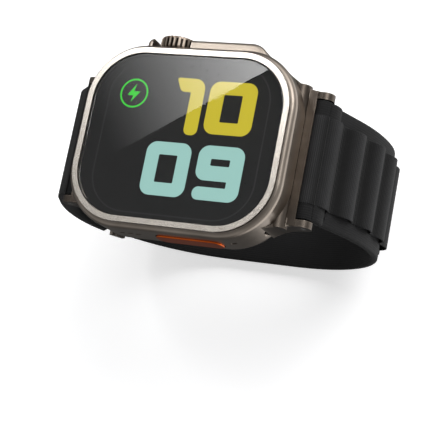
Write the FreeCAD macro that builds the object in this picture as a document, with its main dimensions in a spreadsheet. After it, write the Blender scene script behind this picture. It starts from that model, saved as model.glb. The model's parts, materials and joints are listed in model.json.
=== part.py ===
import FreeCAD, Part
import math
import os
import Sketcher
from types import SimpleNamespace
from FreeCAD import Placement, Rotation, Vector

# A rugged wrist watch closed into its wrist loop.  The origin is the centre of the flat charging
# face on the case back, +Z points out of the display, +X to the six o'clock end and +Y to the crown.

os.makedirs("parts", exist_ok=True)
doc = FreeCAD.newDocument("smartwatch")

# ---------------------------------------------------------------- driving dimensions (millimetres)
SIZES = [
    # case
    ("case_half_length", 24.5), ("case_half_width", 20.6), ("case_corner", 13.0),
    ("case_bottom", 1.2), ("shoulder_top", 13.6), ("bottom_round", 3.0), ("shoulder_round", 1.4),
    ("lip_top", 14.4), ("lip_wide", 1.2), ("case_side_wall", 3.0), ("rail_wall", 1.0),
    ("floor_thick", 1.4), ("shelf_top", 12.5), ("cavity_corner", 8.6), ("seat_gap", 0.1),
    # crystal and display
    ("end_rim", 2.5), ("side_rim", 2.4), ("corner_rim", 2.2),
    ("crystal_thick", 1.35), ("gasket_thick", 0.4), ("panel_thick", 1.2), ("crystal_edge", 0.25),
    ("bond_gap", 0.1), ("antenna_thick", 0.7), ("gasket_inset", 0.1),
    # back
    ("back_end_rim", 6.0), ("back_side_rim", 5.5), ("back_corner", 9.0), ("back_thick", 1.1),
    ("window_rim", 2.9), ("window_flange", 0.8), ("window_dome", 1.2), ("window_rise", 0.54),
    ("dome_wide", 4.2), ("window_flange_thick", 0.6), ("back_seal_width", 1.0),
    ("screw_radius", 0.45), ("screw_head", 0.85), ("screw_head_thick", 0.5),
    ("screw_end_inset", 2.9), ("screw_side_inset", 3.5), ("screw_bite", 0.98), ("screw_hole_deep", 1.12),
    # crown and its guard
    ("crown_along", 7.2), ("crown_height", 7.8), ("crown_radius", 4.1), ("crown_proud", 0.85),
    ("crown_shaft_radius", 0.9), ("crown_travel", 0.3), ("bushing_wall", 0.95), ("shaft_socket", 0.9),
    ("guard_proud", 2.15), ("guard_lug", 1.2), ("guard_tail", 3.7), ("guard_under", 0.1),
    ("guard_edge", 0.8), ("guard_round", 1.4), ("guard_tail_round", 4.5), ("notch_gap", 0.5), ("mic_inset", 1.8),
    ("knurl_depth", 0.45), ("knurl_half", 0.2), ("knurl_count", 24),
    ("running_gap", 0.05), ("button_gap", 0.15), ("button_travel", 0.35), ("stem_radius", 0.7),
    ("side_button_centre", 6.6), ("side_button_half", 5.5), ("side_button_high", 1.6), ("side_button_corner", 1.54),
    ("action_centre", 4.4), ("action_half", 7.6), ("action_high", 2.5), ("action_corner", 2.0),
    ("action_level", 7.4), ("action_proud", 0.35), ("button_thick", 1.1),
    # sound holes
    ("port_first", 11.2), ("port_pitch", 1.9), ("port_half", 0.65), ("port_high", 0.4), ("port_corner", 0.38),
    ("port_level", 8.3), ("far_port", 14.6), ("mesh_lap", 0.2), ("mesh_thick", 0.3), ("mesh_set_back", 0.2),
    # band fittings
    ("rail_inset", 2.1), ("rail_level", 6.2), ("rail_radius", 2.2), ("rail_past_ear", 0.9),
    ("web_half_thick", 0.7), ("web_gap", 0.25), ("ear_thick", 1.5), ("ear_radius", 2.1),
    ("ear_clear", 0.3), ("ear_root", 5.0), ("ear_rise", 5.0), ("ear_sweep", 7.0),
    ("web_lip", 0.9), ("bar_level", 4.3), ("bar_radius", 0.9), ("band_case_gap", 0.55),
    ("latch_radius", 0.7), ("latch_reach", 0.44), ("release_inset", 0.7), ("release_half", 2.8),
    ("release_wide", 0.85), ("release_corner", 0.8), ("release_travel", 0.5), ("release_thick", 1.25),
    ("release_recess", 0.15), ("release_neck", 0.95),
    # band
    ("band_half_width", 12.9), ("band_thick", 1.5), ("wrap_share", 0.8), ("rail_width", 3.3),
    ("loop_proud", 1.7), ("loop_layer", 0.4), ("loop_pitch", 8.4), ("loop_valley", 1.4), ("loop_clear", 2.0),
    ("fold_run", 3.2), ("lap_gap", 0.3), ("right_bulge", 8.7), ("left_bulge", 7.9), ("side_level", -21.5),
    ("bend_radius", 27.0), ("flare_radius", 42.0), ("flare_turn", 22.0), ("hooked_flare_extra", 3.0),
    ("shoulder_bend", 10.0), ("shoulder_run", 5.0), ("tail_rise", 8.0), ("hook_turn", 26.0),
    ("hook_bar", 0.8), ("hook_long", 9.0), ("hook_thick", 1.4), ("hook_arm", 1.2), ("hook_lean", 8.0),
    ("hook_wrap_share", 0.6), ("hook_short_arm", 3.0), ("hook_tongue", 1.6), ("hook_tongue_half", 10.6),
    ("hook_round", 0.4), ("hook_room", 0.3), ("hook_lead", 1.5),
    # seals, switches and the optical sensor
    ("seal_thick", 0.4), ("switch_half", 1.8), ("switch_high", 1.3), ("switch_long", 1.6), ("switch_corner", 0.32),
    ("encoder_wall", 0.7), ("encoder_long", 1.2), ("carrier_wall", 0.75), ("carrier_long", 1.0),
    ("sensor_corner", 0.13), ("clip_wall", 0.5), ("clip_long", 0.95), ("stem_inside", 1.2), ("shaft_inside", 3.2),
    ("coil_width", 2.8), ("coil_thick", 0.85), ("magnet_radius", 2.4), ("sensor_board_thick", 0.6),
    ("optic_share", 0.459), ("led_side", 1.2), ("diode_side", 1.8), ("optic_thick", 0.75),
    ("frame_screw_inset", 1.0), ("frame_screw_head", 0.8), ("frame_above_floor", 0.9),
    ("battery_window", 6.2), ("cell_edge", 0.4), ("motor_edge", 0.27), ("speaker_edge", 0.27), ("speaker_drop", 2.66),
]

# Half length and half width as shares of the cavity's own, then the corner and the thickness.
BLOCKS = {
    "inner_frame": (0.917, 0.602, 1.5, 0.6),
    "battery": (0.625, 0.5, 1.2, 4.0),
    "haptic_motor": (0.167, 0.5, 0.8, 3.6),
    "mainboard": (0.906, 0.591, 1.0, 0.7),
    "processor_package": (0.5, 0.432, 0.5, 0.8),
    "speaker": (0.229, 0.148, 0.8, 3.8),
    "microphone": (0.0625, 0.0568, 0.3, 1.2),
    "pressure_sensor": (0.0625, 0.0682, 0.4, 2.0),
    "display_flex": (0.156, 0.256, 0.4, 0.2),
}
# Middle of each block along X and Y, as shares of the cavity's half length and half width.
BLOCK_PLACES = {
    "inner_frame": (0.0, 0.011), "battery": (-0.1875, 0.011), "haptic_motor": (0.656, 0.011),
    "mainboard": (0.0, 0.011), "processor_package": (0.177, 0.011), "speaker": (-0.484, -0.8125),
    "microphone": (0.594, 0.909), "pressure_sensor": (0.708, -0.818), "display_flex": (-0.469, -0.511),
}
FIELDS = ("long_share", "wide_share", "corner", "thick", "east_share", "north_share")
for block_name, numbers in BLOCKS.items():
    numbers += BLOCK_PLACES[block_name]
    SIZES += [(f"{block_name}_{field}", number) for field, number in zip(FIELDS, numbers)]

sheet = doc.addObject("Spreadsheet::Sheet", "Sizes")
for row, (alias, number) in enumerate(SIZES, start=1):
    sheet.set(f"A{row}", alias)
    sheet.set(f"B{row}", str(number))
    sheet.setAlias(f"B{row}", alias)
doc.recompute()


class Size:
    """A number that carries its spreadsheet formula beside its present value."""

    def __init__(self, formula, value):
        self.formula = formula
        self.value = value

    def _join(self, other, sign, result):
        return Size(f"({self.formula} {sign} {size(other).formula})", result)

    def __add__(self, other):
        return self._join(other, "+", self.value + size(other).value)

    def __sub__(self, other):
        return self._join(other, "-", self.value - size(other).value)

    def __mul__(self, other):
        return self._join(other, "*", self.value * size(other).value)

    def __truediv__(self, other):
        return self._join(other, "/", self.value / size(other).value)

    def __radd__(self, other):
        return size(other) + self

    def __rsub__(self, other):
        return size(other) - self

    def __rmul__(self, other):
        return size(other) * self

    def __neg__(self):
        return size(0) - self


def size(amount):
    """Any plain number as a Size, so that both can be used alike."""
    return amount if isinstance(amount, Size) else Size(str(amount), float(amount))


s = SimpleNamespace(**{alias: Size("Sizes." + alias, float(sheet.get(alias))) for alias, _ in SIZES})

# ---------------------------------------------------------------- sizes that follow from the others
floor_low = s.case_bottom + s.back_thick + s.seat_gap
floor_top = floor_low + s.floor_thick
case_end_wall = s.rail_inset + s.rail_radius + s.rail_wall
cavity_half_length = s.case_half_length - case_end_wall
cavity_half_width = s.case_half_width - s.case_side_wall
crystal_half_length = s.case_half_length - s.end_rim
crystal_half_width = s.case_half_width - s.side_rim
crystal_corner = s.case_corner - s.corner_rim
recess_half_length = crystal_half_length + s.seat_gap
recess_half_width = crystal_half_width + s.seat_gap
recess_corner = crystal_corner + s.seat_gap
crystal_low = s.shelf_top + s.gasket_thick
back_half_length = s.case_half_length - s.back_end_rim
back_half_width = s.case_half_width - s.back_side_rim
screw_across = back_half_length - s.screw_end_inset
screw_along = back_half_width - s.screw_side_inset
window_radius = back_half_width - s.window_rim
charging_face = window_radius - s.dome_wide
rail_reach = s.case_half_length - s.rail_inset
slot_radius = s.rail_radius + s.seat_gap
release_reach = rail_reach - s.release_inset
release_top = s.case_bottom + s.release_recess + s.release_thick
ear_in = s.band_half_width + s.ear_clear
ear_out = ear_in + s.ear_thick
rail_half = ear_out + s.rail_past_ear
wrap_radius = s.bar_radius + s.running_gap + s.band_thick * s.wrap_share
bar_reach = s.case_half_length + wrap_radius + s.band_case_gap
right_reach = bar_reach + s.right_bulge
left_reach = bar_reach + s.left_bulge
loop_half_width = s.band_half_width - s.rail_width
# The ear's flank is the arc that runs on from the rounded corner of the case to the ear's tip.
tip_past_corner = bar_reach - s.case_half_length + s.case_corner
tip_past_side = ear_out - s.case_half_width + s.case_corner
flank_sweep = ((tip_past_corner * tip_past_corner + tip_past_side * tip_past_side
                - s.case_corner * s.case_corner) / (s.case_corner - tip_past_side) / 2)
ear_flank = (tip_past_side + flank_sweep) / (s.case_corner + flank_sweep) * s.case_corner - tip_past_side
hook_wrap = s.hook_bar + s.running_gap + s.band_thick * s.hook_wrap_share
crown_centre = -s.crown_along
bore_radius = s.crown_shaft_radius + s.running_gap + s.bushing_wall
guard_out = s.case_half_width + s.guard_proud
guard_half_high = s.crown_radius - s.guard_under
guard_low = s.crown_height - guard_half_high
guard_high = s.crown_height + guard_half_high
guard_left = crown_centre - s.crown_radius - s.notch_gap - s.guard_lug
guard_right = s.side_button_centre + s.side_button_half + s.guard_tail
crown_out = guard_out + s.crown_proud
knob_in = s.case_half_width + s.crown_travel + s.running_gap
action_out = s.case_half_width + s.action_proud
action_seat = action_out - s.button_thick - s.button_travel - s.button_gap

# ---------------------------------------------------------------- drawing helpers
parts = []


def bind(target, name, amount):
    """Ties one property to its spreadsheet formula."""
    target.setExpression(name, size(amount).formula)


def new_body(label):
    body = doc.addObject("PartDesign::Body", label)
    body.Label = label
    parts.append(body)
    return body


def new_shape(label, shape, placement=None):
    """A sub-part whose outline is worked out here from the sheet's values."""
    piece = doc.addObject("Part::Feature", label)
    piece.Label = label
    piece.Shape = shape
    piece.Placement = placement or Placement()
    parts.append(piece)
    return piece


def sketch_on(body, role, east, north, out):
    """A sketch on an origin plane of its body: XY looks down, XZ looks along +Y, YZ along -X."""
    sketch = body.newObject("Sketcher::SketchObject", body.Label + "_sketch")
    plane = [item for item in body.Origin.OriginFeatures if item.Role == role][0]
    sketch.AttachmentSupport = [(plane, "")]
    sketch.MapMode = "FlatFace"
    for axis, amount in zip("xyz", (east, north, out)):
        bind(sketch, "AttachmentOffset.Base." + axis, amount)
    return sketch


def constrain(sketch, kind, *geometry, amount):
    """Adds one dimension and ties it to its formula."""
    index = sketch.addConstraint(Sketcher.Constraint(kind, *geometry, size(amount).value))
    sketch.setExpression(f"Constraints[{index}]", size(amount).formula)


def draw_circle(sketch, radius):
    circle = sketch.addGeometry(Part.Circle(Vector(0, 0, 0), Vector(0, 0, 1), size(radius).value))
    sketch.addConstraint(Sketcher.Constraint("Coincident", circle, 3, -1, 1))
    constrain(sketch, "Radius", circle, amount=radius)


def draw_round_rect(sketch, half_wide, half_high, corner):
    """A rectangle about the sketch's own origin with four equal round corners."""
    wide, high, bend = size(half_wide), size(half_high), size(corner)
    inset_x = wide - bend
    inset_y = high - bend
    arcs = []
    for east, north, start in ((1, 1, 0), (-1, 1, 90), (-1, -1, 180), (1, -1, 270)):
        centre = Vector(east * inset_x.value, north * inset_y.value, 0)
        circle = Part.Circle(centre, Vector(0, 0, 1), bend.value)
        low = math.radians(start)
        arcs.append(sketch.addGeometry(Part.ArcOfCircle(circle, low, low + math.pi / 2)))
    for number in range(4):
        ahead = arcs[(number + 1) % 4]
        begin = sketch.getPoint(arcs[number], 2)
        finish = sketch.getPoint(ahead, 1)
        side = sketch.addGeometry(Part.LineSegment(begin, finish))
        sketch.addConstraint(Sketcher.Constraint("Tangent", arcs[number], 2, side, 1))
        sketch.addConstraint(Sketcher.Constraint("Tangent", side, 2, ahead, 1))
    for number, (east, north) in enumerate(((1, 1), (-1, 1), (-1, -1), (1, -1))):
        ends_x = (-1, 1, arcs[number], 3) if east > 0 else (arcs[number], 3, -1, 1)
        ends_y = (-1, 1, arcs[number], 3) if north > 0 else (arcs[number], 3, -1, 1)
        constrain(sketch, "DistanceX", *ends_x, amount=inset_x)
        constrain(sketch, "DistanceY", *ends_y, amount=inset_y)
        constrain(sketch, "Radius", arcs[number], amount=bend)


def draw_polygon(sketch, corners):
    """A closed outline of straight lines whose corners follow the sheet."""
    places = [Vector(size(east).value, size(north).value, 0) for east, north in corners]
    lines = []
    for number, place in enumerate(places):
        ahead = places[(number + 1) % len(places)]
        lines.append(sketch.addGeometry(Part.LineSegment(place, ahead)))
    for number, (east, north) in enumerate(corners):
        before = lines[number - 1]
        sketch.addConstraint(Sketcher.Constraint("Coincident", before, 2, lines[number], 1))
        for kind, amount in (("DistanceX", size(east)), ("DistanceY", size(north))):
            if amount.value >= 0:
                constrain(sketch, kind, -1, 1, lines[number], 1, amount=amount)
            else:
                constrain(sketch, kind, lines[number], 1, -1, 1, amount=-amount)


def grow(body, sketch, length):
    """Pads a sketch away from its plane."""
    pad = body.newObject("PartDesign::Pad", body.Label + "_pad")
    pad.Profile = sketch
    bind(pad, "Length", length)
    doc.recompute()
    return pad


def carve(body, sketch, length):
    """Pockets a sketch away from its plane, and checks that something was cut."""
    before = body.Shape.Volume
    pocket = body.newObject("PartDesign::Pocket", body.Label + "_pocket")
    pocket.Profile = sketch
    pocket.Reversed = True
    bind(pocket, "Length", length)
    doc.recompute()
    if body.Shape.Volume > before - 1e-6:
        raise ValueError(f"{body.Label}: a pocket cut nothing")
    return pocket


def soften(body, radius, wanted):
    """Rounds every edge that the test picks out."""
    base = body.Tip
    names = [f"Edge{number}" for number, edge in enumerate(base.Shape.Edges, 1) if wanted(edge)]
    if not names:
        raise ValueError(f"{body.Label}: no edge to round")
    fillet = body.newObject("PartDesign::Fillet", body.Label + "_round")
    fillet.Base = (base, names)
    bind(fillet, "Radius", radius)
    doc.recompute()
    return fillet


def flat_at(level):
    """Picks edges that lie in one level plane."""
    height = size(level).value
    return lambda edge: edge.BoundBox.ZLength < 1e-4 and abs(edge.BoundBox.ZMin - height) < 1e-4


def plate(label, half_wide, half_high, corner, low, high, east=0, north=0):
    """A level plate with round corners."""
    body = new_body(label)
    sketch = sketch_on(body, "XY_Plane", east, north, low)
    draw_round_rect(sketch, half_wide, half_high, corner)
    grow(body, sketch, size(high) - low)
    return body


def hole_down(body, half_wide, half_high, corner, low, high, east=0, north=0):
    """A level pocket with round corners between two heights."""
    sketch = sketch_on(body, "XY_Plane", east, north, low)
    draw_round_rect(sketch, half_wide, half_high, corner)
    carve(body, sketch, size(high) - low)


def disc(label, radius, low, high, east=0, north=0):
    body = new_body(label)
    sketch = sketch_on(body, "XY_Plane", east, north, low)
    draw_circle(sketch, radius)
    grow(body, sketch, size(high) - low)
    return body


def round_up(body, radius, low, high, east=0, north=0, cut=False):
    """A level disc added to, or cut from, a body between two heights."""
    sketch = sketch_on(body, "XY_Plane", east, north, low)
    draw_circle(sketch, radius)
    (carve if cut else grow)(body, sketch, size(high) - low)


def across(body, draw, start, stop, east, up, cut=False):
    """A shape drawn in the XZ plane and taken along Y from start (the lower Y) to stop."""
    sketch = sketch_on(body, "XZ_Plane", east, up, -size(stop))
    draw(sketch)
    (carve if cut else grow)(body, sketch, size(stop) - start)


def shaft(label, radius, start, stop, east, up):
    """A round bar along Y."""
    body = new_body(label)
    across(body, lambda sketch: draw_circle(sketch, radius), start, stop, east, up)
    return body


# ---------------------------------------------------------------- case
def make_case():
    body = plate("case", s.case_half_length, s.case_half_width, s.case_corner,
                 s.case_bottom, s.shoulder_top)
    soften(body, s.bottom_round, flat_at(s.case_bottom))
    soften(body, s.shoulder_round, flat_at(s.shoulder_top))

    lip = sketch_on(body, "XY_Plane", 0, 0, s.shoulder_top - s.shoulder_round)
    draw_round_rect(lip, recess_half_length + s.lip_wide, recess_half_width + s.lip_wide,
                    recess_corner + s.lip_wide)
    grow(body, lip, s.lip_top - s.shoulder_top + s.shoulder_round)

    hole_down(body, recess_half_length, recess_half_width, recess_corner, s.shelf_top, s.lip_top)
    hole_down(body, cavity_half_length, cavity_half_width, s.cavity_corner, floor_top, s.shelf_top)
    hole_down(body, back_half_length + s.seat_gap, back_half_width + s.seat_gap,
              s.back_corner + s.seat_gap, s.case_bottom, floor_low)
    round_up(body, window_radius + s.window_flange + s.seat_gap, floor_low, floor_top, cut=True)
    for east in (-screw_across, screw_across):
        for north in (-screw_along, screw_along):
            round_up(body, s.screw_radius, floor_low, floor_low + s.screw_hole_deep, east, north, cut=True)

    wall_in = cavity_half_width - s.case_side_wall / 3
    side_wall = s.case_half_width + s.running_gap
    across(body, lambda sketch: draw_circle(sketch, bore_radius),
           wall_in, side_wall, crown_centre, s.crown_height, cut=True)
    across(body, lambda sketch: draw_circle(sketch, s.stem_radius + s.running_gap),
           wall_in, side_wall, s.side_button_centre, s.crown_height, cut=True)
    across(body, lambda sketch: draw_circle(sketch, s.port_high),
           wall_in, side_wall, guard_right - s.mic_inset, s.crown_height, cut=True)

    across(body, lambda sketch: draw_round_rect(sketch, s.action_half + s.button_gap,
                                                s.action_high + s.button_gap, s.action_corner),
           -action_out, -action_seat, s.action_centre, s.action_level, cut=True)
    across(body, lambda sketch: draw_circle(sketch, s.stem_radius + s.running_gap),
           -action_seat - s.seat_gap, -wall_in, s.action_centre, s.action_level, cut=True)
    for place in [s.port_pitch * count - s.port_first for count in range(3)] + [s.far_port]:
        across(body, lambda sketch: draw_round_rect(sketch, s.port_half, s.port_high, s.port_corner),
               -side_wall, -wall_in, place, s.port_level, cut=True)

    for side in (-1, 1):
        across(body, lambda sketch: draw_circle(sketch, slot_radius),
               -s.case_half_width, s.case_half_width, rail_reach * side, s.rail_level, cut=True)
        hole_down(body, s.release_wide + s.running_gap, s.release_half + s.running_gap, s.release_corner,
                  s.case_bottom - s.release_recess, release_top + s.release_travel + s.seat_gap,
                  release_reach * side, 0)
        round_up(body, s.latch_radius + s.running_gap, release_top, s.rail_level - s.rail_radius + s.latch_reach,
                 release_reach * side, 0, cut=True)


def make_guard():
    """The raised bar that shields the crown and holds the long button, fitted round the case's side."""
    guard = new_body("crown_guard")
    root = guard_out - s.guard_tail_round - s.case_side_wall
    sketch = sketch_on(guard, "XY_Plane", 0, 0, guard_low)
    draw_polygon(sketch, [(guard_left, root), (guard_right, root), (guard_right, guard_out),
                          (guard_left, guard_out)])
    grow(guard, sketch, guard_high - guard_low)

    def corner(edge, end):
        box = edge.BoundBox
        return abs(box.XMin - end.value) < 1e-4 and box.XLength < 1e-4 and box.YMin > guard_out.value - 1e-4
    soften(guard, s.guard_round, lambda edge: corner(edge, guard_left))
    soften(guard, s.guard_tail_round, lambda edge: corner(edge, guard_right))
    soften(guard, s.guard_edge, lambda edge: edge.BoundBox.ZLength < 1e-4 and edge.BoundBox.YMax > root.value + 1e-3)

    close = s.running_gap
    hole_down(guard, s.case_half_length + close, s.case_half_width + close, s.case_corner + close,
              guard_low, guard_high)
    across(guard, lambda sketch: draw_round_rect(sketch, s.side_button_half + s.button_gap,
                                                 s.side_button_high + s.button_gap, s.side_button_corner),
           s.case_half_width, guard_out, s.side_button_centre, s.crown_height, cut=True)
    across(guard, lambda sketch: draw_circle(sketch, s.port_high),
           s.case_half_width - s.case_side_wall, guard_out, guard_right - s.mic_inset, s.crown_height, cut=True)
    left = crown_centre - s.crown_radius - s.notch_gap
    right = crown_centre + s.crown_radius + s.notch_gap
    across(guard, lambda sketch: draw_polygon(sketch, [
        (left, guard_low), (right, guard_low), (right, guard_high), (left, guard_high)]),
        s.case_half_width, guard_out, 0, 0, cut=True)


# ---------------------------------------------------------------- crystal, display and their seals
def make_front():
    crystal = plate("crystal", crystal_half_length, crystal_half_width, crystal_corner,
                    crystal_low, crystal_low + s.crystal_thick)
    soften(crystal, s.crystal_edge, flat_at(crystal_low + s.crystal_thick))

    inset = s.gasket_inset
    gasket = plate("crystal_gasket", crystal_half_length - inset, crystal_half_width - inset,
                   crystal_corner - inset, s.shelf_top, crystal_low)
    hole_down(gasket, cavity_half_length + inset, cavity_half_width + inset, s.cavity_corner + inset,
              s.shelf_top, crystal_low)

    panel_high = crystal_low - s.bond_gap
    panel_low = panel_high - s.panel_thick
    plate("display_panel", cavity_half_length - 2 * inset, cavity_half_width - 2 * inset,
          s.cavity_corner - 2 * inset, panel_low, panel_high)
    block("display_flex", panel_low - s.display_flex_thick)

    outer, inner = s.running_gap, s.lip_wide
    ring_high = panel_low - s.display_flex_thick
    ring = plate("antenna_ring", cavity_half_length - outer, cavity_half_width - outer,
                 s.cavity_corner - outer, ring_high - s.antenna_thick, ring_high)
    hole_down(ring, cavity_half_length - inner, cavity_half_width - inner, s.cavity_corner - inner,
              ring_high - s.antenna_thick, ring_high)


# ---------------------------------------------------------------- back: cover, window, coil, sensors
def make_back():
    cover_low = s.case_bottom
    cover_high = cover_low + s.back_thick
    spots = [(east * screw_across, north * screw_along) for east in (-1, 1) for north in (-1, 1)]
    cover = plate("back_cover", back_half_length, back_half_width, s.back_corner, cover_low, cover_high)
    round_up(cover, window_radius + s.seat_gap, cover_low, cover_high, cut=True)
    for spot in spots:
        round_up(cover, s.screw_radius + s.seat_gap, cover_low, cover_high, *spot, cut=True)
        round_up(cover, s.screw_head + s.seat_gap, cover_low, cover_low + s.screw_head_thick, *spot, cut=True)

    seal = plate("back_gasket", back_half_length, back_half_width, s.back_corner, cover_high, floor_low)
    rim = s.back_seal_width
    hole_down(seal, back_half_length - rim, back_half_width - rim, s.back_corner - rim,
              cover_high, floor_low)
    for spot in spots:
        round_up(seal, s.screw_radius + s.seat_gap, cover_high, floor_low, *spot, cut=True)

    window = new_body("back_crystal")
    slope = sketch_on(window, "XZ_Plane", 0, 0, 0)
    edge = window_radius
    flange_high = floor_low + s.window_flange_thick
    draw_polygon(slope, [(0, 0), (charging_face, 0), (edge - s.window_dome, s.window_rise),
                         (edge, s.window_dome), (edge, floor_low), (edge + s.window_flange, floor_low),
                         (edge + s.window_flange, flange_high), (0, flange_high)])
    turn = window.newObject("PartDesign::Revolution", "back_crystal_turn")
    turn.Profile = slope
    turn.ReferenceAxis = (slope, ["V_Axis"])
    turn.Angle = 360.0
    doc.recompute()

    screws = []
    for east, north in spots:
        foot = Vector(east.value, north.value, cover_low.value + s.running_gap.value)
        head_thick = s.screw_head_thick.value - s.running_gap.value
        head = Part.makeCylinder(s.screw_head.value, head_thick, foot)
        drive = Part.makeBox(s.screw_head.value, s.screw_radius.value / 2, head_thick / 2,
                             foot - Vector(s.screw_head.value / 2, s.screw_radius.value / 4, 0))
        reach = s.back_thick.value + s.screw_bite.value
        shank = Part.makeCylinder(s.screw_radius.value - s.running_gap.value, reach, foot)
        screws.append(head.fuse(shank).cut(drive))
    new_shape("back_screws", Part.makeCompound(screws))

    coil = disc("charging_coil", window_radius - s.seat_gap, flange_high, flange_high + s.coil_thick)
    round_up(coil, window_radius - s.coil_width, flange_high, flange_high + s.coil_thick, cut=True)
    disc("alignment_magnet", s.magnet_radius, flange_high, flange_high + s.coil_thick)
    board_low = flange_high + s.coil_thick + s.running_gap
    disc("sensor_board", window_radius - s.seat_gap * 2, board_low, board_low + s.sensor_board_thick)
    optic_low = flange_high.value + s.seat_gap.value
    optic_circle = (window_radius * s.optic_share).value
    for label, side, first in (("sensor_leds", s.led_side.value, 45), ("photodiodes", s.diode_side.value, 0)):
        place_round(label, 4, optic_circle, first, optic_low,
                    lambda spot: Part.makeBox(side, side, s.optic_thick.value,
                                              spot - Vector(side / 2, side / 2, 0)))


def place_round(label, count, radius, first, height, shape):
    """Equal solids on a circle, all in one sub-part."""
    spots = []
    for number in range(count):
        angle = math.radians(first + 360 / count * number)
        spots.append(Vector(radius * math.cos(angle), radius * math.sin(angle), height))
    new_shape(label, Part.makeCompound([shape(spot) for spot in spots]))


# ---------------------------------------------------------------- what the case holds
def block(name, low):
    """One of the blocks inside the case, standing on the height given.  Returns it and its top."""
    long_share, wide_share, corner, thick, east, north = [getattr(s, f"{name}_{field}") for field in FIELDS]
    high = low + thick
    body = plate(name, cavity_half_length * long_share, cavity_half_width * wide_share, corner, low, high,
                 cavity_half_length * east, cavity_half_width * north)
    return body, high


def make_inside():
    frame_low = floor_top + s.frame_above_floor
    frame, frame_top = block("inner_frame", frame_low)
    hole_down(frame, s.battery_window, s.battery_window, s.battery_corner, frame_low, frame_top)
    battery, battery_top = block("battery", frame_top)
    soften(battery, s.cell_edge, flat_at(battery_top))
    motor, motor_top = block("haptic_motor", frame_top)
    soften(motor, s.motor_edge, flat_at(motor_top))
    board_low = battery_top + s.seat_gap
    board, board_top = block("mainboard", board_low)
    block("processor_package", board_top)

    screw_east = cavity_half_length * s.mainboard_long_share - s.frame_screw_inset
    screw_north = cavity_half_width * s.mainboard_wide_share - s.frame_screw_inset
    middle = cavity_half_width * s.inner_frame_north_share
    screw_spots = [(east * screw_east, north * screw_north + middle) for east in (-1, 1) for north in (-1, 1)]
    for spot in screw_spots:
        for body, low, high in ((frame, frame_low, frame_top), (board, board_low, board_top)):
            round_up(body, s.screw_radius + s.running_gap, low, high, *spot, cut=True)
    screws = []
    for east, north in screw_spots:
        foot = Vector(east.value, north.value, frame_low.value)
        reach = board_top.value - frame_low.value
        shank = Part.makeCylinder(s.screw_radius.value, reach, foot)
        head = Part.makeCylinder(s.frame_screw_head.value, s.seal_thick.value, foot + Vector(0, 0, reach))
        screws.append(shank.fuse(head))
    new_shape("frame_screws", Part.makeCompound(screws))

    speaker, speaker_top = block("speaker", s.port_level - s.speaker_drop)
    soften(speaker, s.speaker_edge, flat_at(speaker_top))
    block("microphone", s.crown_height - s.microphone_thick / 2)
    block("pressure_sensor", s.port_level - s.pressure_sensor_thick / 2)
    meshes = []
    lap = s.mesh_lap.value
    for count in range(3):
        east = s.port_pitch.value * count - s.port_first.value
        corner = Vector(east - s.port_half.value - lap, s.mesh_set_back.value - cavity_half_width.value,
                        s.port_level.value - s.port_high.value - lap)
        meshes.append(Part.makeBox(2 * (s.port_half.value + lap), s.mesh_thick.value,
                                   2 * (s.port_high.value + lap), corner))
    new_shape("speaker_mesh", Part.makeCompound(meshes))


# ---------------------------------------------------------------- crown
def make_crown():
    east, up = crown_centre, s.crown_height
    shaft_in = cavity_half_width - s.shaft_inside
    knob = new_body("crown_knob")
    across(knob, lambda sketch: draw_circle(sketch, s.crown_radius), knob_in, crown_out, east, up)
    soften(knob, s.knurl_depth, lambda edge: edge.BoundBox.YLength < 1e-4)
    cutter = sketch_on(knob, "XZ_Plane", east, up, -crown_out)
    root, brim = s.crown_radius - s.knurl_depth, s.crown_radius + s.knurl_depth
    draw_polygon(cutter, [(-s.knurl_half, root), (s.knurl_half, root),
                          (s.knurl_half * 2, brim), (-s.knurl_half * 2, brim)])
    groove = carve(knob, cutter, crown_out - knob_in)
    ring = knob.newObject("PartDesign::PolarPattern", "crown_knob_knurl")
    ring.Originals = [groove]
    ring.Axis = (cutter, ["N_Axis"])
    ring.Angle = 360
    bind(ring, "Occurrences", s.knurl_count)
    knob.Tip = ring
    doc.recompute()
    across(knob, lambda sketch: draw_circle(sketch, s.crown_shaft_radius), knob_in, knob_in + s.shaft_socket,
           east, up, cut=True)
    shaft("crown_shaft", s.crown_shaft_radius, shaft_in, knob_in + s.shaft_socket, east, up)

    def ring_on_shaft(label, radius, bore, start, stop):
        collar = shaft(label, radius, start, stop, east, up)
        across(collar, lambda sketch: draw_circle(sketch, bore), start, stop, east, up, cut=True)

    free_bore = s.crown_shaft_radius + s.running_gap
    encoder_radius = s.crown_shaft_radius + s.encoder_wall
    bushing_out = knob_in - s.crown_travel - s.seal_thick - s.button_gap
    encoder_out = shaft_in + s.encoder_long
    carrier_in = encoder_out + s.button_gap
    ring_on_shaft("crown_encoder", encoder_radius, s.crown_shaft_radius, shaft_in, encoder_out)
    ring_on_shaft("crown_bushing", bore_radius, free_bore, cavity_half_width - s.seat_gap, bushing_out)
    ring_on_shaft("crown_carrier", free_bore + s.carrier_wall, free_bore, carrier_in, carrier_in + s.carrier_long)

    seal = doc.addObject("Part::Torus", "crown_seal")
    parts.append(seal)
    seal.Label = "crown_seal"
    bind(seal, "Radius1", free_bore + s.seal_thick / 2)
    bind(seal, "Radius2", s.seal_thick / 2)
    seal.Placement.Rotation = Rotation(Vector(1, 0, 0), 90)
    bind(seal, "Placement.Base.x", east)
    bind(seal, "Placement.Base.y", bushing_out + s.seal_thick / 2)
    bind(seal, "Placement.Base.z", up)

    switch = new_body("crown_switch")
    high = s.switch_high
    across(switch, lambda sketch: draw_round_rect(sketch, high, high, s.switch_corner),
           shaft_in - s.crown_travel - s.running_gap - s.switch_long,
           shaft_in - s.crown_travel - s.running_gap, east, up)
    reader = new_body("crown_sensor")
    across(reader, lambda sketch: draw_round_rect(sketch, high, s.seal_thick, s.sensor_corner),
           shaft_in, encoder_out, east, up - encoder_radius - s.seal_thick - s.button_gap)


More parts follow.
